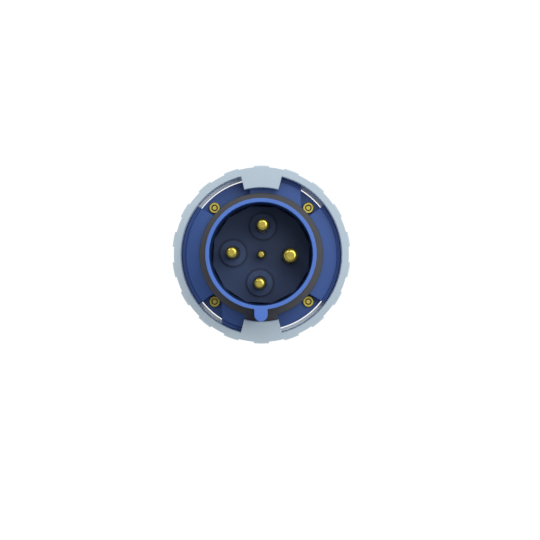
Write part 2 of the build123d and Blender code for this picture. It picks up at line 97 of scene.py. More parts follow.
# %% [markdown]
# A material is a tree of nodes, and a node's input takes either a link or a plain value. The first
# helpers hide that difference, and set up the node groups that several materials share.

# %% Groups and sockets
def new_group(name, inputs, outputs):
    """An empty shader node group with named sockets."""
    group = bpy.data.node_groups.new(name, "ShaderNodeTree")
    for label, kind, value in inputs:
        socket = group.interface.new_socket(label, in_out="INPUT", socket_type=kind)
        socket.default_value = value
    for label, kind in outputs:
        group.interface.new_socket(label, in_out="OUTPUT", socket_type=kind)
    start = group.nodes.new("NodeGroupInput")
    end = group.nodes.new("NodeGroupOutput")
    return group, start, end


def plug_in(tree, socket, value):
    """Gives a socket another socket's value, or a plain number or colour."""
    if isinstance(value, bpy.types.NodeSocket):
        tree.links.new(value, socket)
    else:
        socket.default_value = value


# %% [markdown]
# A tree is built from a few small steps again and again: a sum, a noise, a mask between two
# limits. Each step gets a helper, so that the materials below read like a list of what their
# surface does. The masks are made from distances in millimetres: a mask has an edge, such as a
# radius, and a pair of distances from that edge. It is nothing at the first and full at the second.

# %% Numbers and masks
def math_node(tree, operation, first, second=None):
    """A Math node. Each operand is a socket or a number."""
    node = tree.nodes.new("ShaderNodeMath")
    node.operation = operation
    plug_in(tree, node.inputs[0], first)
    if second is not None:
        plug_in(tree, node.inputs[1], second)
    return node.outputs[0]


def product(tree, first, *others):
    """Numbers or masks multiplied, so that a point has to lie in all of the masks."""
    for other in others:
        first = math_node(tree, "MULTIPLY", first, other)
    return first


def noise_node(tree, vector, scale, detail, roughness):
    """Noise read at a vector. The scale is a socket or a number."""
    node = tree.nodes.new("ShaderNodeTexNoise")
    node.inputs["Detail"].default_value = detail
    node.inputs["Roughness"].default_value = roughness
    tree.links.new(vector, node.inputs["Vector"])
    plug_in(tree, node.inputs["Scale"], scale)
    return node.outputs["Fac"]


def ramp(tree, value, start, end, low=0.0, high=1.0):
    """A value mapped smoothly from one range to another, and held at its ends."""
    node = tree.nodes.new("ShaderNodeMapRange")
    node.interpolation_type = "SMOOTHSTEP"
    plug_in(tree, node.inputs["Value"], value)
    limits = {"From Min": start, "From Max": end, "To Min": low, "To Max": high}
    for label, number in limits.items():
        plug_in(tree, node.inputs[label], number)
    return node.outputs["Result"]


def mask(tree, distance, edge, fade):
    """A mask from a distance: nothing at the edge plus the first of a pair, full at the second."""
    return ramp(tree, distance, edge + fade[0], edge + fade[1])


# %% [markdown]
# The other steps end in the shader: a mask mixes two colours, a height becomes a bump. A bump that
# is added to a shader that has one takes the first one's normal, so both show.

# %% Colours, materials and bumps
MIX_COLOURS = (6, 7)   # the two colour inputs of a Mix node
MIX_COLOUR_OUT = 2     # and its colour output


def mixed_colour(tree, factor, first, second):
    """Two colours mixed by a mask. Each colour is a socket or three numbers."""
    node = tree.nodes.new("ShaderNodeMix")
    node.data_type = "RGBA"
    plug_in(tree, node.inputs["Factor"], factor)
    for index, colour in zip(MIX_COLOURS, (first, second)):
        linked = isinstance(colour, bpy.types.NodeSocket)
        plug_in(tree, node.inputs[index], colour if linked else (*colour, 1.0))
    return node.outputs[MIX_COLOUR_OUT]


def new_material(name):
    """A material with its tree and its Principled BSDF."""
    material = bpy.data.materials.new(name)
    material.use_nodes = True
    return material, material.node_tree, material.node_tree.nodes["Principled BSDF"]


def bumped(tree, shader, height, strength, distance_mm):
    """The shader's normal follows a height, on top of any bump that it has."""
    bump = tree.nodes.new("ShaderNodeBump")
    bump.inputs["Strength"].default_value = strength
    bump.inputs["Distance"].default_value = distance_mm * MM
    tree.links.new(height, bump.inputs["Height"])
    for link in shader.inputs["Normal"].links:
        tree.links.new(link.from_socket, bump.inputs["Normal"])
    tree.links.new(bump.outputs["Normal"], shader.inputs["Normal"])


# %% [markdown]
# Moulded plastic is never quite smooth: the mould's spark-eroded skin leaves a fine grain. The
# grain is used by the blue, the grey and the dark mouldings, so it is a node group, built once,
# whose scale is set by each material. Object coordinates are in metres here, and the group
# multiplies them, so the grain has a real size. It also gives a slow drift, for gloss and tone.

# %% Mould grain
MM_IN_A_METRE = 1000.0   # also the scale of a pattern 1 mm wide
GRAIN_NOISE = {"detail": 3.0, "roughness": 0.6}
DRIFT_NOISE = {"detail": 2.0, "roughness": 0.5}


def make_mould_grain():
    """Fine grain of a spark-eroded mould, and a slow drift of its gloss."""
    group, start, end = new_group(
        "Mould grain",
        [("Grain size mm", "NodeSocketFloat", 0.25), ("Drift size mm", "NodeSocketFloat", 30.0)],
        [("Height", "NodeSocketFloat"), ("Drift", "NodeSocketFloat")],
    )
    place = group.nodes.new("ShaderNodeTexCoord").outputs["Object"]
    grain_scale = math_node(group, "DIVIDE", MM_IN_A_METRE, start.outputs["Grain size mm"])
    drift_scale = math_node(group, "DIVIDE", MM_IN_A_METRE, start.outputs["Drift size mm"])
    group.links.new(noise_node(group, place, grain_scale, **GRAIN_NOISE), end.inputs["Height"])
    group.links.new(noise_node(group, place, drift_scale, **DRIFT_NOISE), end.inputs["Drift"])
    return group


mould_grain = make_mould_grain()
print("group:", mould_grain.name, "with", len(mould_grain.nodes), "nodes")

# %% [markdown]
# Many marks on this plug depend on how far a point is from an axis and how high it is: the
# ring's pads are rubbed smoother and carry a painted highlight, and painted shade lies in a screw's
# recess and inside the shroud. One group measures both distances in millimetres from a centre that
# each material gives, and the materials turn them into masks.

# %% Distance from an axis
def make_axis_distance():
    """Distance from an upright axis through a centre, and height above it, in millimetres."""
    group, start, end = new_group(
        "Axis distance",
        [("Centre", "NodeSocketVector", (0.0, 0.0, 0.0))],
        [("Radius mm", "NodeSocketFloat"), ("Height mm", "NodeSocketFloat")],
    )
    offset = group.nodes.new("ShaderNodeVectorMath")
    offset.operation = "SUBTRACT"
    group.links.new(group.nodes.new("ShaderNodeTexCoord").outputs["Object"], offset.inputs[0])
    group.links.new(start.outputs["Centre"], offset.inputs[1])
    parts = group.nodes.new("ShaderNodeSeparateXYZ")
    group.links.new(offset.outputs[0], parts.inputs[0])
    across = product(group, parts.outputs["X"], parts.outputs["X"])
    along = product(group, parts.outputs["Y"], parts.outputs["Y"])
    radius = math_node(group, "SQRT", math_node(group, "ADD", across, along))
    group.links.new(product(group, radius, MM_IN_A_METRE), end.inputs["Radius mm"])
    group.links.new(product(group, parts.outputs["Z"], MM_IN_A_METRE), end.inputs["Height mm"])
    return group


axis_distance = make_axis_distance()
print("group:", axis_distance.name, "with", len(axis_distance.nodes), "nodes")


def measured(tree, centre=(0.0, 0.0, 0.0)):
    """Radius and height of a point, in millimetres, from a centre."""
    node = tree.nodes.new("ShaderNodeGroup")
    node.node_tree = axis_distance
    node.inputs["Centre"].default_value = centre
    return node.outputs["Radius mm"], node.outputs["Height mm"]


# %% [markdown]
# A plastic's finish is one Principled BSDF. The grain feeds a Bump node, and the slow drift
# moves roughness and colour by a few percent, as handling and the mould's polish do. The function
# hands back its tree with the drift, colour and gloss in it, because some pieces add a mask of
# their own.

# %% Plastic
Plastic = namedtuple("Plastic", "material tree shader drift colour gloss")
NOISE_SPAN = (0.3, 0.7)   # most of a noise lies between these
GLOSS_DRIFT = 0.03
GRAIN_STRENGTH = 0.6


def plastic(name, dark, light, roughness, grain_mm, bump_mm, specular=0.5):
    """Moulded plastic that drifts between two tones."""
    material, tree, shader = new_material(name)
    shader.inputs["Specular IOR Level"].default_value = specular
    grain = tree.nodes.new("ShaderNodeGroup")
    grain.node_tree = mould_grain
    grain.inputs["Grain size mm"].default_value = grain_mm
    drift = ramp(tree, grain.outputs["Drift"], *NOISE_SPAN)
    colour = mixed_colour(tree, drift, dark, light)
    gloss = ramp(tree, drift, 0.0, 1.0, roughness - GLOSS_DRIFT, roughness + GLOSS_DRIFT)
    tree.links.new(colour, shader.inputs["Base Color"])
    tree.links.new(gloss, shader.inputs["Roughness"])
    bumped(tree, shader, grain.outputs["Height"], GRAIN_STRENGTH, bump_mm)
    return Plastic(material, tree, shader, drift, colour, gloss)


# %% [markdown]
# The front housing is moulded in one blue. From just below the rim down to the flange the colour
# darkens, as painted shade of the well round the shroud. Inside the shroud a deeper blue, darkening
# towards the bottom of the bore, is painted shade too. Masks of radius and height tell bore,
# rim and flange apart.

# %% Blue of the front housing
RIM_DARK, RIM_LIGHT = (0.059, 0.148, 0.490), (0.066, 0.160, 0.525)
# The flange's blues are painted shade, and so are the bore's, which are darkest at its bottom.
SHADED_FLANGE_DARK, SHADED_FLANGE_LIGHT = (0.037, 0.100, 0.318), (0.043, 0.110, 0.345)
SHADED_BORE_BLUE = (0.010, 0.070, 0.310)
DEEPER_SHADED_BORE_BLUE = (0.007, 0.043, 0.172)
FLANGE_SHADE_START = 3.0               # the flange's painted shade starts this far below the rim
FLANGE_SHADE_FULL = 2.0            # and is full this far above the flange
BORE_SKIN = (0.5, 0.1)       # from the bore's radius
BORE_SHADE_TOP = (-0.3, -1.5)    # from the rim, where the bore's painted shade starts
BORE_SHADE = (-2.0, -28.0)   # from the rim down to the bore's deepest painted shade


def front_blue():
    """Blue of the front housing, with painted shade on the flange and deeper painted shade in the
    shroud.
    """
    base = plastic(
        "Blue moulding", RIM_DARK, RIM_LIGHT,
        roughness=0.42, grain_mm=0.35, bump_mm=0.02, specular=0.3,
    )
    tree = base.tree
    radius, height = measured(tree)
    rim, face, bore_r = rim_z / MM, face_z / MM, shroud_bore_r / MM
    # Painted shade: a darker blue on the flange, and a darker one still down the bore.
    flange = mixed_colour(tree, base.drift, SHADED_FLANGE_DARK, SHADED_FLANGE_LIGHT)
    low = ramp(tree, height, rim - FLANGE_SHADE_START, face + FLANGE_SHADE_FULL)
    outside = mixed_colour(tree, low, base.colour, flange)
    bore = mixed_colour(tree, mask(tree, height, rim, BORE_SHADE), SHADED_BORE_BLUE, DEEPER_SHADED_BORE_BLUE)
    inside = mask(tree, radius, bore_r, BORE_SKIN)
    below = mask(tree, height, rim, BORE_SHADE_TOP)
    colour = mixed_colour(tree, product(tree, inside, below), outside, bore)
    tree.links.new(colour, base.shader.inputs["Base Color"])
    return base.material


blue_moulding = front_blue()
print("material:", blue_moulding.name)

# %% [markdown]
# The rear housing is moulded in a mould of two halves, and where they meet they leave a fine
# raised line down both sides. It is half a millimetre wide, too fine for a mesh, so a mask round
# the plane between the halves makes it as a bump, a little paler than the rest.

# %% Blue of the rear housing
HANDLE_DARK, HANDLE_LIGHT = (0.048, 0.118, 0.380), (0.055, 0.130, 0.410)
PARTED_BLUE = (0.070, 0.160, 0.470)
LINE_EDGES = (0.30 * MM, 0.12 * MM)   # from the plane between the halves, on both sides of it
LINE_STRENGTH = 0.8
LINE_RISE_MM = 0.12


def handle_blue():
    """Blue of the rear housing, with the mould's fine parting line down both sides."""
    base = plastic("Blue handle", HANDLE_DARK, HANDLE_LIGHT, roughness=0.45, grain_mm=0.5, bump_mm=0.03)
    tree = base.tree
    parts = tree.nodes.new("ShaderNodeSeparateXYZ")
    tree.links.new(tree.nodes.new("ShaderNodeTexCoord").outputs["Object"], parts.inputs[0])
    line = ramp(tree, math_node(tree, "ABSOLUTE", parts.outputs["Y"]), *LINE_EDGES)
    bumped(tree, base.shader, line, LINE_STRENGTH, LINE_RISE_MM)
    colour = mixed_colour(tree, line, base.colour, PARTED_BLUE)
    tree.links.new(colour, base.shader.inputs["Base Color"])
    return base.material


blue_handle = handle_blue()
print("material:", blue_handle.name)

# %% [markdown]
# The grey ring and nut are gripped and turned, so what stands out of them is rubbed smoother, and
# a paler grey there is a painted highlight. The mask is the outermost half millimetre, measured from
# the axis. Inside the ring the wall of its bore and the lip behind the flange lie in deep shade, and a
# much paler grey there is painted light. A second mask of radius and height picks them out.

# %% Grey mouldings
GREY_DARK, GREY_LIGHT = (0.422, 0.513, 0.572), (0.442, 0.538, 0.596)
# painted highlight on the outermost skin of the ring and nut
EDGE_HIGHLIGHT_GREY = (0.54, 0.64, 0.70)
# painted light on the ring's lip and the wall of its bore, which lie in shade
PAINTED_LIGHT_GREY = (0.79, 0.87, 0.905)
RUBBED_HIGHLIT_SKIN = (-0.6, -0.1)     # from the outermost radius
RUBBED_GLOSS = 0.1             # how much smoother rubbed plastic is
RING_BORE_SKIN = (0.3, 0.1)    # from the bore's radius
WALL_SKIN = (-0.5, -0.2)       # from the bore's radius, so that lugs and lip are left out
WALL_TOP = (-0.8, -2.0)        # from the ring's front
LIP_TOP = (-8.0, -10.0)        # from the ring's front
LIP_FOOT = (10.0, 12.0)        # from the ring's rear end


def painted_light_mask(tree, radius, height):
    """A mask of the ring's lip and of the wall of its bore, which get painted light."""
    bore_r, front, rear = ring_bore_r / MM, ring_high.z / MM, ring_low.z / MM
    inside = mask(tree, radius, bore_r, RING_BORE_SKIN)
    lip = product(tree, inside, mask(tree, height, front, LIP_TOP), mask(tree, height, rear, LIP_FOOT))
    at_wall = mask(tree, radius, bore_r, WALL_SKIN)
    wall = product(tree, inside, at_wall, mask(tree, height, front, WALL_TOP))
    return math_node(tree, "MAXIMUM", lip, wall)


def grey_with_painted_light(name, outer_r, painted_light_inside=False):
    """Grey plastic whose outermost skin is smoother and carries a painted highlight, and, where asked,
    painted light inside.
    """
    base = plastic(name, GREY_DARK, GREY_LIGHT, roughness=0.48, grain_mm=0.40, bump_mm=0.02)
    tree = base.tree
    radius, height = measured(tree)
    # smoother where hands rub, and paler there as a painted highlight
    rubbed_highlit = mask(tree, radius, outer_r / MM, RUBBED_HIGHLIT_SKIN)
    colour = mixed_colour(tree, rubbed_highlit, base.colour, EDGE_HIGHLIGHT_GREY)
    if painted_light_inside:
        # painted light where the lip and the bore's wall lie in shade
        colour = mixed_colour(tree, painted_light_mask(tree, radius, height), colour, PAINTED_LIGHT_GREY)
    gloss = math_node(tree, "SUBTRACT", base.gloss, product(tree, rubbed_highlit, RUBBED_GLOSS))
    tree.links.new(colour, base.shader.inputs["Base Color"])
    tree.links.new(gloss, base.shader.inputs["Roughness"])
    return base.material


grey_ring = grey_with_painted_light("Grey ring", pad_r, painted_light_inside=True)
grey_nut = grey_with_painted_light("Grey nut", nut_r)
print("materials:", grey_ring.name, "and", grey_nut.name)

# %% [markdown]
# The insulator is a dark navy plastic, the cage and washer are black nylon, and the seals are
# charcoal rubber. On the insulator the tops of the bosses round the phase pins are a little paler,
# which is painted light, and a dark ring round the foot of each boss is painted shade.

# %% Dark plastics and rubber
NAVY_DARK, NAVY_LIGHT = (0.051, 0.088, 0.198), (0.057, 0.098, 0.220)
# painted light on the tops of the bosses, and painted shade round their feet
LIT_BOSS_NAVY = (0.072, 0.120, 0.256)
CORNER_SHADE_NAVY = (0.030, 0.050, 0.112)
NYLON_DARK, NYLON_LIGHT = (0.014, 0.014, 0.015), (0.020, 0.020, 0.021)
RUBBER_DARK, RUBBER_LIGHT = (0.078, 0.080, 0.085), (0.090, 0.091, 0.096)
PHASE_PINS = ("phase_pin_1", "phase_pin_2", "phase_pin_3")
BOSS_R = 8.6                  # in mm
BOSS_TOP = (-0.6, -0.2)       # from the tops of the bosses
FACE_REACH = (-2.6, -2.2)     # from there too, so that the painted shade stays out of the pins' wells
CORNER_INNER = (-0.15, 0.1)   # from a boss's radius
CORNER_OUTER = (2.4, 0.2)     # from there too, where the painted shade ends


def top_centre(name):
    """The middle of the top of a node's box."""
    low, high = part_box(name)
    return ((low.x + high.x) / 2, (low.y + high.y) / 2, high.z)


def insulator_navy():
    """Navy of the insulator, with painted light on its bosses and painted shade in the corner round
    each.
    """
    base = plastic(
        "Dark insulator", NAVY_DARK, NAVY_LIGHT,
        roughness=0.50, grain_mm=0.30, bump_mm=0.015, specular=0.25,
    )
    tree = base.tree
    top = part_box("contact_carrier")[1].z / MM
    height = measured(tree)[1]
    # painted light on the tops of the bosses
    colour = mixed_colour(tree, mask(tree, height, top, BOSS_TOP), base.colour, LIT_BOSS_NAVY)
    on_face = mask(tree, height, top, FACE_REACH)
    for name in PHASE_PINS:
        radius = measured(tree, top_centre(name))[0]
        rising = mask(tree, radius, BOSS_R, CORNER_INNER)
        falling = mask(tree, radius, BOSS_R, CORNER_OUTER)
        # painted shade round the foot of each boss
        colour = mixed_colour(tree, product(tree, rising, falling, on_face), colour, CORNER_SHADE_NAVY)
    tree.links.new(colour, base.shader.inputs["Base Color"])
    return base.material


dark_insulator = insulator_navy()
black_nylon = plastic(
    "Black nylon", NYLON_DARK, NYLON_LIGHT, roughness=0.45, grain_mm=0.40, bump_mm=0.02,
).material
seal_rubber = plastic(
    "Seal rubber", RUBBER_DARK, RUBBER_LIGHT,
    roughness=0.50, grain_mm=0.50, bump_mm=0.03, specular=0.25,
).material
print("materials:", dark_insulator.name, "and", black_nylon.name, "and", seal_rubber.name)

# %% [markdown]
# Turned brass shows the tool's fine rings. They run round the pin's own axis, so each turned
# piece has a material with its own centre, and the height and the distance from that axis make
# the bands. In a cover screw's recess a dark colour that is not metal takes the metal's place,
# which is painted shade.

# %% Turned metal
TARNISH_NOISE = {"scale": 260.0, "detail": 3.0, "roughness": 0.6}   # patches about 4 mm wide
SMOOTHER, ROUGHER = 0.03, 0.04
# painted shade in a cover screw's recess
RECESS_SHADE_COLOUR = (0.035, 0.030, 0.012)
SHADE_INNER = (-0.15, 0.1)    # from the radius of the recess's post
SHADE_OUTER = (0.1, -0.1)     # from the radius of its wall
SHADE_DEPTH = (-0.1, -0.8)    # from the screw's top
RING_STRENGTH = 0.15
RING_RISE_MM = 0.01


def recess_shade_mask(tree, radius, height, recess):
    """A mask of what lies in a round recess, between the post in its middle and its wall."""
    post_r, wall_r = recess
    beyond = mask(tree, radius, post_r, SHADE_INNER)
    within = mask(tree, radius, wall_r, SHADE_OUTER)
    return product(tree, beyond, within, mask(tree, height, 0.0, SHADE_DEPTH))


def turned_metal(name, dark, light, roughness, pitch_mm, centre, recess=None, metal=1.0):
    """A turned metal whose fine rings run round its own axis, with painted shade in its recess."""
    material, tree, shader = new_material(name)
    radius, height = measured(tree, centre)
    turns = math_node(tree, "DIVIDE", math_node(tree, "ADD", radius, height), pitch_mm)
    rings = math_node(tree, "SINE", product(tree, turns, math.tau))
    place = tree.nodes.new("ShaderNodeTexCoord").outputs["Object"]
    tone = noise_node(tree, place, **TARNISH_NOISE)
    colour = mixed_colour(tree, ramp(tree, tone, *NOISE_SPAN), dark, light)
    gloss = ramp(tree, tone, *NOISE_SPAN, roughness - SMOOTHER, roughness + ROUGHER)
    if recess:
        # painted shade in the recess: a dark colour, not metal
        recess_shade = recess_shade_mask(tree, radius, height, recess)
        colour = mixed_colour(tree, recess_shade, colour, RECESS_SHADE_COLOUR)
        metal = product(tree, metal, math_node(tree, "SUBTRACT", 1.0, recess_shade))
    tree.links.new(colour, shader.inputs["Base Color"])
    tree.links.new(gloss, shader.inputs["Roughness"])
    plug_in(tree, shader.inputs["Metallic"], metal)
    bumped(tree, shader, rings, RING_STRENGTH, RING_RISE_MM)
    return material


# %% [markdown]
# Each node is given its finish by name. Turned pieces get a material of their own, because their
# rings need their own centre. Their kinds differ in tones, polish and the pitch of the rings, so a
# small table holds these for each kind. The pins are a little tarnished, which a share of metal
# below one stands for, and the pilot pin, which is wiped least, has the most of it.

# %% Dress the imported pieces
PLASTICS = {
    "front_housing": blue_moulding,
    "rear_housing": blue_handle,
    "locking_ring": grey_ring,
    "gland_nut": grey_nut,
    "contact_carrier": dark_insulator,
    "pin_retainer": dark_insulator,
    "thrust_washer": black_nylon,
    "clamping_cage": black_nylon,
    "face_gasket": seal_rubber,
    "housing_gasket": seal_rubber,
    "carrier_seal": seal_rubber,
    "gland_grommet": seal_rubber,
}
SCREW_BRASS = {
    "dark": (0.46, 0.385, 0.078), "light": (0.54, 0.455, 0.100), "roughness": 0.48, "pitch_mm": 0.3,
}
PIN_BRASS = {
    "dark": (0.42, 0.345, 0.058), "light": (0.50, 0.41, 0.075), "roughness": 0.08, "pitch_mm": 0.3,
}
STEEL = {
    "dark": (0.42, 0.42, 0.41), "light": (0.55, 0.55, 0.53), "roughness": 0.35, "pitch_mm": 0.4,
}
SCREW_RECESS = (1.4, 2.25)   # radii of the post and of the wall, in mm
PIN_METAL = 0.86
PILOT_METAL = 0.6


def finish_of(name):
    """The material of a node, by its name."""
    if name in PLASTICS:
        return PLASTICS[name]
    if name.startswith("pin_seal"):
        return seal_rubber
    centre = top_centre(name)
    if name.startswith("cover_screw"):
        return turned_metal("Brass " + name, **SCREW_BRASS, centre=centre, recess=SCREW_RECESS)
    if name.endswith("_pin") or name.startswith("phase_pin"):
        metal = PILOT_METAL if name == "pilot_pin" else PIN_METAL
        return turned_metal("Brass " + name, **PIN_BRASS, centre=centre, metal=metal)
    return turned_metal("Steel " + name, **STEEL, centre=centre)


def dress(node, material):
    """The node shows this material alone."""
    node.data.materials.clear()
    node.data.materials.append(material)


for name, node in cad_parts.items():
    dress(node, finish_of(name))
print("dressed nodes:", len(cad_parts))

# %% [markdown]
# The gland nut runs on a coarse thread on the housing's neck, which comes into view as the nut is
# unscrewed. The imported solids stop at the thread's root, and the ridge is added here. A ridge is
# one closed section carried along a helix. Its shape follows a rule, so Geometry Nodes make it.
# The section comes first: it has five corners, the last of them again the first, and each corner
# is a pair of numbers, how far out it stands and how far along the axis it lies.

# %% A thread's section
SECTION_CORNERS = 5


def index_switch(tree, index, values):
    """The value at an index of a short list."""
    node = tree.nodes.new("GeometryNodeIndexSwitch")
    node.data_type = "FLOAT"
    while len(node.index_switch_items) < len(values):
        node.index_switch_items.new()
    tree.links.new(index, node.inputs["Index"])
    for slot, value in enumerate(values):
        plug_in(tree, node.inputs[slot + 1], value)
    return node.outputs[0]


def ridge_section(tree, corner, size):
    """How far out of the root a corner of the trapezoid stands, and how far along the axis."""
    foot = product(tree, size["Foot width"], 0.5)
    crest = product(tree, size["Crest width"], 0.5)
    foot_back = product(tree, foot, -1.0)
    crest_back = product(tree, crest, -1.0)
    height = size["Ridge height"]
    out = index_switch(tree, corner, (0.0, height, height, 0.0, 0.0))
    up = index_switch(tree, corner, (foot_back, crest_back, crest, foot, foot_back))
    return out, up


# %% [markdown]
# The tree takes a grid whose long side runs along the helix and whose short side goes once round
# the section, and moves each of its points to its place. The section shrinks to nothing over a
# quarter turn at both ends, as a cut thread runs out, and merging the doubled points closes it.

# %% Thread by Geometry Nodes
STEPS_PER_TURN = 56
RUNOUT_TURNS = 0.25
DOUBLES = 0.002 * MM
THREAD_SIZES = (
    "Root radius", "Ridge height", "Foot width", "Crest width", "Pitch", "Turns", "Start height",
)


def runout_share(tree, steps, turned):
    """1 along the thread, and falling to 0 over the last part of a turn at both of its ends."""
    whole = math_node(tree, "DIVIDE", steps, float(STEPS_PER_TURN))
    left = math_node(tree, "SUBTRACT", whole, turned)
    left = math_node(tree, "SUBTRACT", left, 1.0 / STEPS_PER_TURN)
    nearest = math_node(tree, "MINIMUM", turned, left)
    return math_node(tree, "MINIMUM", product(tree, nearest, 1.0 / RUNOUT_TURNS), 1.0)


def helix_place(tree, turned, out, up, size):
    """The place of a point of the section after a number of turns."""
    radius = math_node(tree, "ADD", size["Root radius"], out)
    angle = product(tree, turned, math.tau)
    rise = math_node(tree, "ADD", size["Start height"], product(tree, turned, size["Pitch"]))
    place = tree.nodes.new("ShaderNodeCombineXYZ")
    tree.links.new(product(tree, radius, math_node(tree, "COSINE", angle)), place.inputs["X"])
    tree.links.new(product(tree, radius, math_node(tree, "SINE", angle)), place.inputs["Y"])
    tree.links.new(math_node(tree, "ADD", rise, up), place.inputs["Z"])
    return place.outputs[0]


def make_thread_tree():
    """A ridge of trapezoid section along a right-hand helix."""
    tree = bpy.data.node_groups.new("Thread ridge", "GeometryNodeTree")
    for label in THREAD_SIZES:
        tree.interface.new_socket(label, in_out="INPUT", socket_type="NodeSocketFloat")
    tree.interface.new_socket("Material", in_out="INPUT", socket_type="NodeSocketMaterial")
    tree.interface.new_socket("Mesh", in_out="OUTPUT", socket_type="NodeSocketGeometry")
    size = tree.nodes.new("NodeGroupInput").outputs
    steps = math_node(tree, "ROUND", product(tree, size["Turns"], float(STEPS_PER_TURN)))
    grid = tree.nodes.new("GeometryNodeMeshGrid")
    tree.links.new(steps, grid.inputs["Vertices X"])
    grid.inputs["Vertices Y"].default_value = SECTION_CORNERS
    index = tree.nodes.new("GeometryNodeInputIndex").outputs[0]
    corner = math_node(tree, "MODULO", index, float(SECTION_CORNERS))
    step = math_node(tree, "FLOOR", math_node(tree, "DIVIDE", index, float(SECTION_CORNERS)))
    turned = math_node(tree, "DIVIDE", step, float(STEPS_PER_TURN))
    runout = runout_share(tree, steps, turned)
    out, up = [product(tree, side, runout) for side in ridge_section(tree, corner, size)]
    move = tree.nodes.new("GeometryNodeSetPosition")
    tree.links.new(grid.outputs["Mesh"], move.inputs["Geometry"])
    tree.links.new(helix_place(tree, turned, out, up, size), move.inputs["Position"])
    merge = tree.nodes.new("GeometryNodeMergeByDistance")
    merge.inputs["Distance"].default_value = DOUBLES
    tree.links.new(move.outputs[0], merge.inputs["Geometry"])
    realize = tree.nodes.new("GeometryNodeRealizeInstances")
    tree.links.new(merge.outputs[0], realize.inputs[0])
    paint = tree.nodes.new("GeometryNodeSetMaterial")
    tree.links.new(realize.outputs[0], paint.inputs["Geometry"])
    tree.links.new(size["Material"], paint.inputs["Material"])
    tree.links.new(paint.outputs[0], tree.nodes.new("NodeGroupOutput").inputs["Mesh"])
    return tree


thread_tree = make_thread_tree()
print("tree:", thread_tree.name, "with", len(thread_tree.nodes), "nodes")

# %% [markdown]
# The modifier's inputs are set by their identifiers, then the result is taken as a plain mesh.
# The same tree makes both threads: the neck's ridge points out, and the nut's has a height below
# zero, so it points in. Half a pitch between their starts lets one lie between the other's turns.
# Each ridge is sunk a little into what carries it, so that no gap shows between them.

# %% Neck and nut threads
PITCH = 3.0 * MM
THREAD_HEIGHT = 1.0 * MM
SINK = 0.05 * MM
PROFILE = {"foot_width": 1.7 * MM, "crest_width": 0.7 * MM, "pitch": PITCH}
FIRST_TURN = 2.6 * MM              # the neck's thread starts this far above its end
NECK_BAND = (0.9 * MM, 1.1 * MM)   # above the neck's end, where its root is measured
NUT_BAND = 0.1 * MM                # below the nut's top, where its bore is measured
NECK_TURNS = 9.0
NUT_TURNS = 8.0


def thread(name, body, material, **sizes):
    """A thread ridge as a plain mesh that rides on a body."""
    piece = bpy.data.objects.new(name, bpy.data.meshes.new(name))
    bpy.context.scene.collection.objects.link(piece)
    modifier = piece.modifiers.new("Thread ridge", "NODES")
    modifier.node_group = thread_tree
    given = {label.replace("_", " ").capitalize(): value for label, value in sizes.items()}
    given["Material"] = material
    for item in thread_tree.interface.items_tree:
        if item.in_out == "INPUT":
            modifier[item.identifier] = given[item.name]
    bpy.context.view_layer.update()
    view = bpy.context.evaluated_depsgraph_get()
    mesh = bpy.data.meshes.new_from_object(piece.evaluated_get(view))
    piece.modifiers.remove(modifier)
    piece.data = mesh
    shell = bmesh.new()
    shell.from_mesh(mesh)
    bmesh.ops.recalc_face_normals(shell, faces=shell.faces)
    open_edges = sum(1 for edge in shell.edges if not edge.is_manifold)
    shell.to_mesh(mesh)
    shell.free()
    dress(piece, material)
    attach(piece, body)
    print(name, "faces:", len(mesh.polygons), "open edges:", open_edges)


neck_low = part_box("rear_housing")[0].z
nut_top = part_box("gland_nut")[1].z
neck_r = radii("rear_housing", neck_low + NECK_BAND[0], neck_low + NECK_BAND[1])[1]
nut_bore_r = radii("gland_nut", nut_top - NUT_BAND)[0]
neck_start = neck_low + FIRST_TURN
thread(
    "neck_thread", "housing", blue_handle,
    root_radius=neck_r - SINK, ridge_height=THREAD_HEIGHT + SINK,
    turns=NECK_TURNS, start_height=neck_start, **PROFILE,
)
thread(
    "nut_thread", "nut", grey_nut,
    root_radius=nut_bore_r + SINK, ridge_height=-THREAD_HEIGHT - SINK,
    turns=NUT_TURNS, start_height=neck_start + PITCH / 2, **PROFILE,
)

# %% [markdown]
# The studio is a white floor. The photograph's background is plain white, so what looks at the
# floor mostly passes through it and meets the white underside of the world, while the rest of
# the light meets an ordinary matt floor. A little of the floor's own shading stays in the mix,
# and with it the plug's shadow. A floor that glowed would do as well, but the renderer would take
# it for a huge lamp, and the narrow gaps of the plug would come out speckled. The gland nut
# screws down by six millimetres, so the floor lies a little lower than the plug, or the nut would
# dip into it.

# %% Floor
FLOOR_WHITE = (0.85, 0.85, 0.85, 1.0)
FLOOR_ROUGHNESS = 0.9
SEEN_THROUGH = 0.94
FLOOR_SIDE = 6.0
FLOOR_DROP = 7 * MM


def looked_at(tree):
    """A mask that is 1 for camera, glossy and transmission rays."""
    rays = tree.nodes.new("ShaderNodeLightPath")
    seen = math_node(tree, "MAXIMUM", rays.outputs["Is Camera Ray"], rays.outputs["Is Glossy Ray"])
    return math_node(tree, "MAXIMUM", seen, rays.outputs["Is Transmission Ray"])


def studio_white():
    """Matt white, mostly clear for what looks at it."""
    material, tree, shader = new_material("Studio white")
    shader.inputs["Base Color"].default_value = FLOOR_WHITE
    shader.inputs["Roughness"].default_value = FLOOR_ROUGHNESS
    clear = tree.nodes.new("ShaderNodeBsdfTransparent")
    mix = tree.nodes.new("ShaderNodeMixShader")
    tree.links.new(product(tree, looked_at(tree), SEEN_THROUGH), mix.inputs["Fac"])
    tree.links.new(shader.outputs["BSDF"], mix.inputs[1])
    tree.links.new(clear.outputs["BSDF"], mix.inputs[2])
    tree.links.new(mix.outputs["Shader"], tree.nodes["Material Output"].inputs["Surface"])
    return material


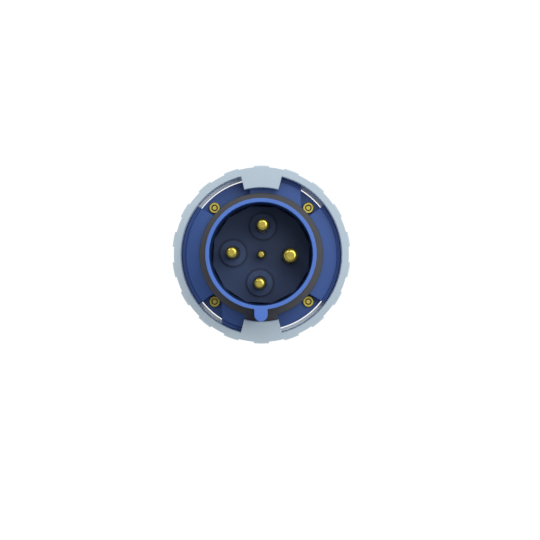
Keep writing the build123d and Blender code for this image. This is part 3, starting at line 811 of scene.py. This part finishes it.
bpy.ops.mesh.primitive_plane_add(size=FLOOR_SIDE, location=(0, 0, cad_low.z - FLOOR_DROP))
floor = bpy.context.object
floor.name = "studio_floor"
dress(floor, studio_white())
print("floor height, in mm:", in_mm([floor.location.z]))

# %% [markdown]
# One broad lamp lights the photograph from the upper right, about 25 degrees off the plug's axis.
# Inside the shroud its light falls on the lower left of the insulator, and the shroud throws a
# soft shadow over the flange there. A square area lamp gives this. A small weak one at the upper
# left carries the bright crescent on each pin round to that side.

# %% Lamps
LAMP_DISTANCE = 1.1


def area_lamp(name, aim, lean, bearing, side, power):
    """A square lamp facing a point. Lean from upright and bearing from +X are in degrees."""
    data = bpy.data.lights.new(name, "AREA")
    data.size = side
    data.energy = power
    out = math.sin(math.radians(lean))
    across = out * math.cos(math.radians(bearing))
    along = out * math.sin(math.radians(bearing))
    towards = Vector((across, along, math.cos(math.radians(lean))))
    lamp = bpy.data.objects.new(name, data)
    lamp.location = aim + LAMP_DISTANCE * towards
    lamp.rotation_euler = towards.to_track_quat("Z", "Y").to_euler()
    bpy.context.scene.collection.objects.link(lamp)
    print(name, "at, in mm:", in_mm(lamp.location))


ring_middle = (ring_low + ring_high) / 2
area_lamp("key_lamp", ring_middle, lean=26, bearing=42, side=0.75, power=6.0)
area_lamp("fill_lamp", ring_middle, lean=32, bearing=125, side=0.30, power=1.1)

# %% [markdown]
# The world is white overhead, which the flat pin tips mirror, and white round the horizon, which
# lights the sides of the plug. Between the two it is dim, so the shadows keep their depth. The
# camera sees it plain white on every side, and so does what looks through the floor. A direction's
# height, from 0 at the horizon to 1 overhead, tells these parts of the world apart.

# %% World
HORIZON_FADE = (0.65, 0.25)    # heights, from dim to the horizon's full strength
OVERHEAD_FADE = (0.95, 0.99)   # heights, from dim to the full strength overhead
PLAIN_WHITE = (1.0, 1.0, 1.0, 1.0)


def sky(overhead, between, horizon, backdrop):
    """A world bright overhead and near the horizon, and plain for what looks at it or below it."""
    world = bpy.data.worlds.new("Studio")
    world.use_nodes = True
    tree = world.node_tree
    parts = tree.nodes.new("ShaderNodeSeparateXYZ")
    tree.links.new(tree.nodes.new("ShaderNodeTexCoord").outputs["Generated"], parts.inputs[0])
    height = parts.outputs["Z"]
    low = ramp(tree, height, *HORIZON_FADE, between, horizon)
    high = ramp(tree, height, *OVERHEAD_FADE, 0.0, overhead - between)
    below = math_node(tree, "LESS_THAN", height, 0.0)
    above = math_node(tree, "SUBTRACT", 1.0, below)
    lit = product(tree, math_node(tree, "ADD", low, high), above)
    camera_ray = tree.nodes.new("ShaderNodeLightPath").outputs["Is Camera Ray"]
    plain = math_node(tree, "MAXIMUM", camera_ray, product(tree, looked_at(tree), below))
    background = tree.nodes["Background"]
    background.inputs["Color"].default_value = PLAIN_WHITE
    tree.links.new(ramp(tree, plain, 0.0, 1.0, lit, backdrop), background.inputs["Strength"])
    bpy.context.scene.world = world
    print("world:", world.name, "with", len(tree.nodes), "nodes")


sky(overhead=0.9, between=0.37, horizon=1.4, backdrop=1.05)

# %% [markdown]
# The camera looks straight down the plug's axis from about 1.1 m above the rim. The plug stands
# left of and above the middle of the picture because the camera is a little to the side of the
# axis, which also shows more of the shroud's wall on one side.

# %% Camera
CAMERA_HEIGHT = 1.1
CAMERA_X, CAMERA_Y = 5.75 * MM, -10.3 * MM
SENSOR_MM = 36.0
LENS_MM = 115.3
camera_data = bpy.data.cameras.new("Camera")
camera_data.sensor_width = SENSOR_MM
camera_data.lens = LENS_MM
camera = bpy.data.objects.new("Camera", camera_data)
camera.location = (CAMERA_X, CAMERA_Y, rim_z + CAMERA_HEIGHT)
camera.rotation_euler = (0.0, 0.0, 0.0)
bpy.context.scene.collection.objects.link(camera)
bpy.context.scene.camera = camera
bpy.context.scene.view_settings.view_transform = "Standard"
print("camera at, in mm:", in_mm(camera.location))
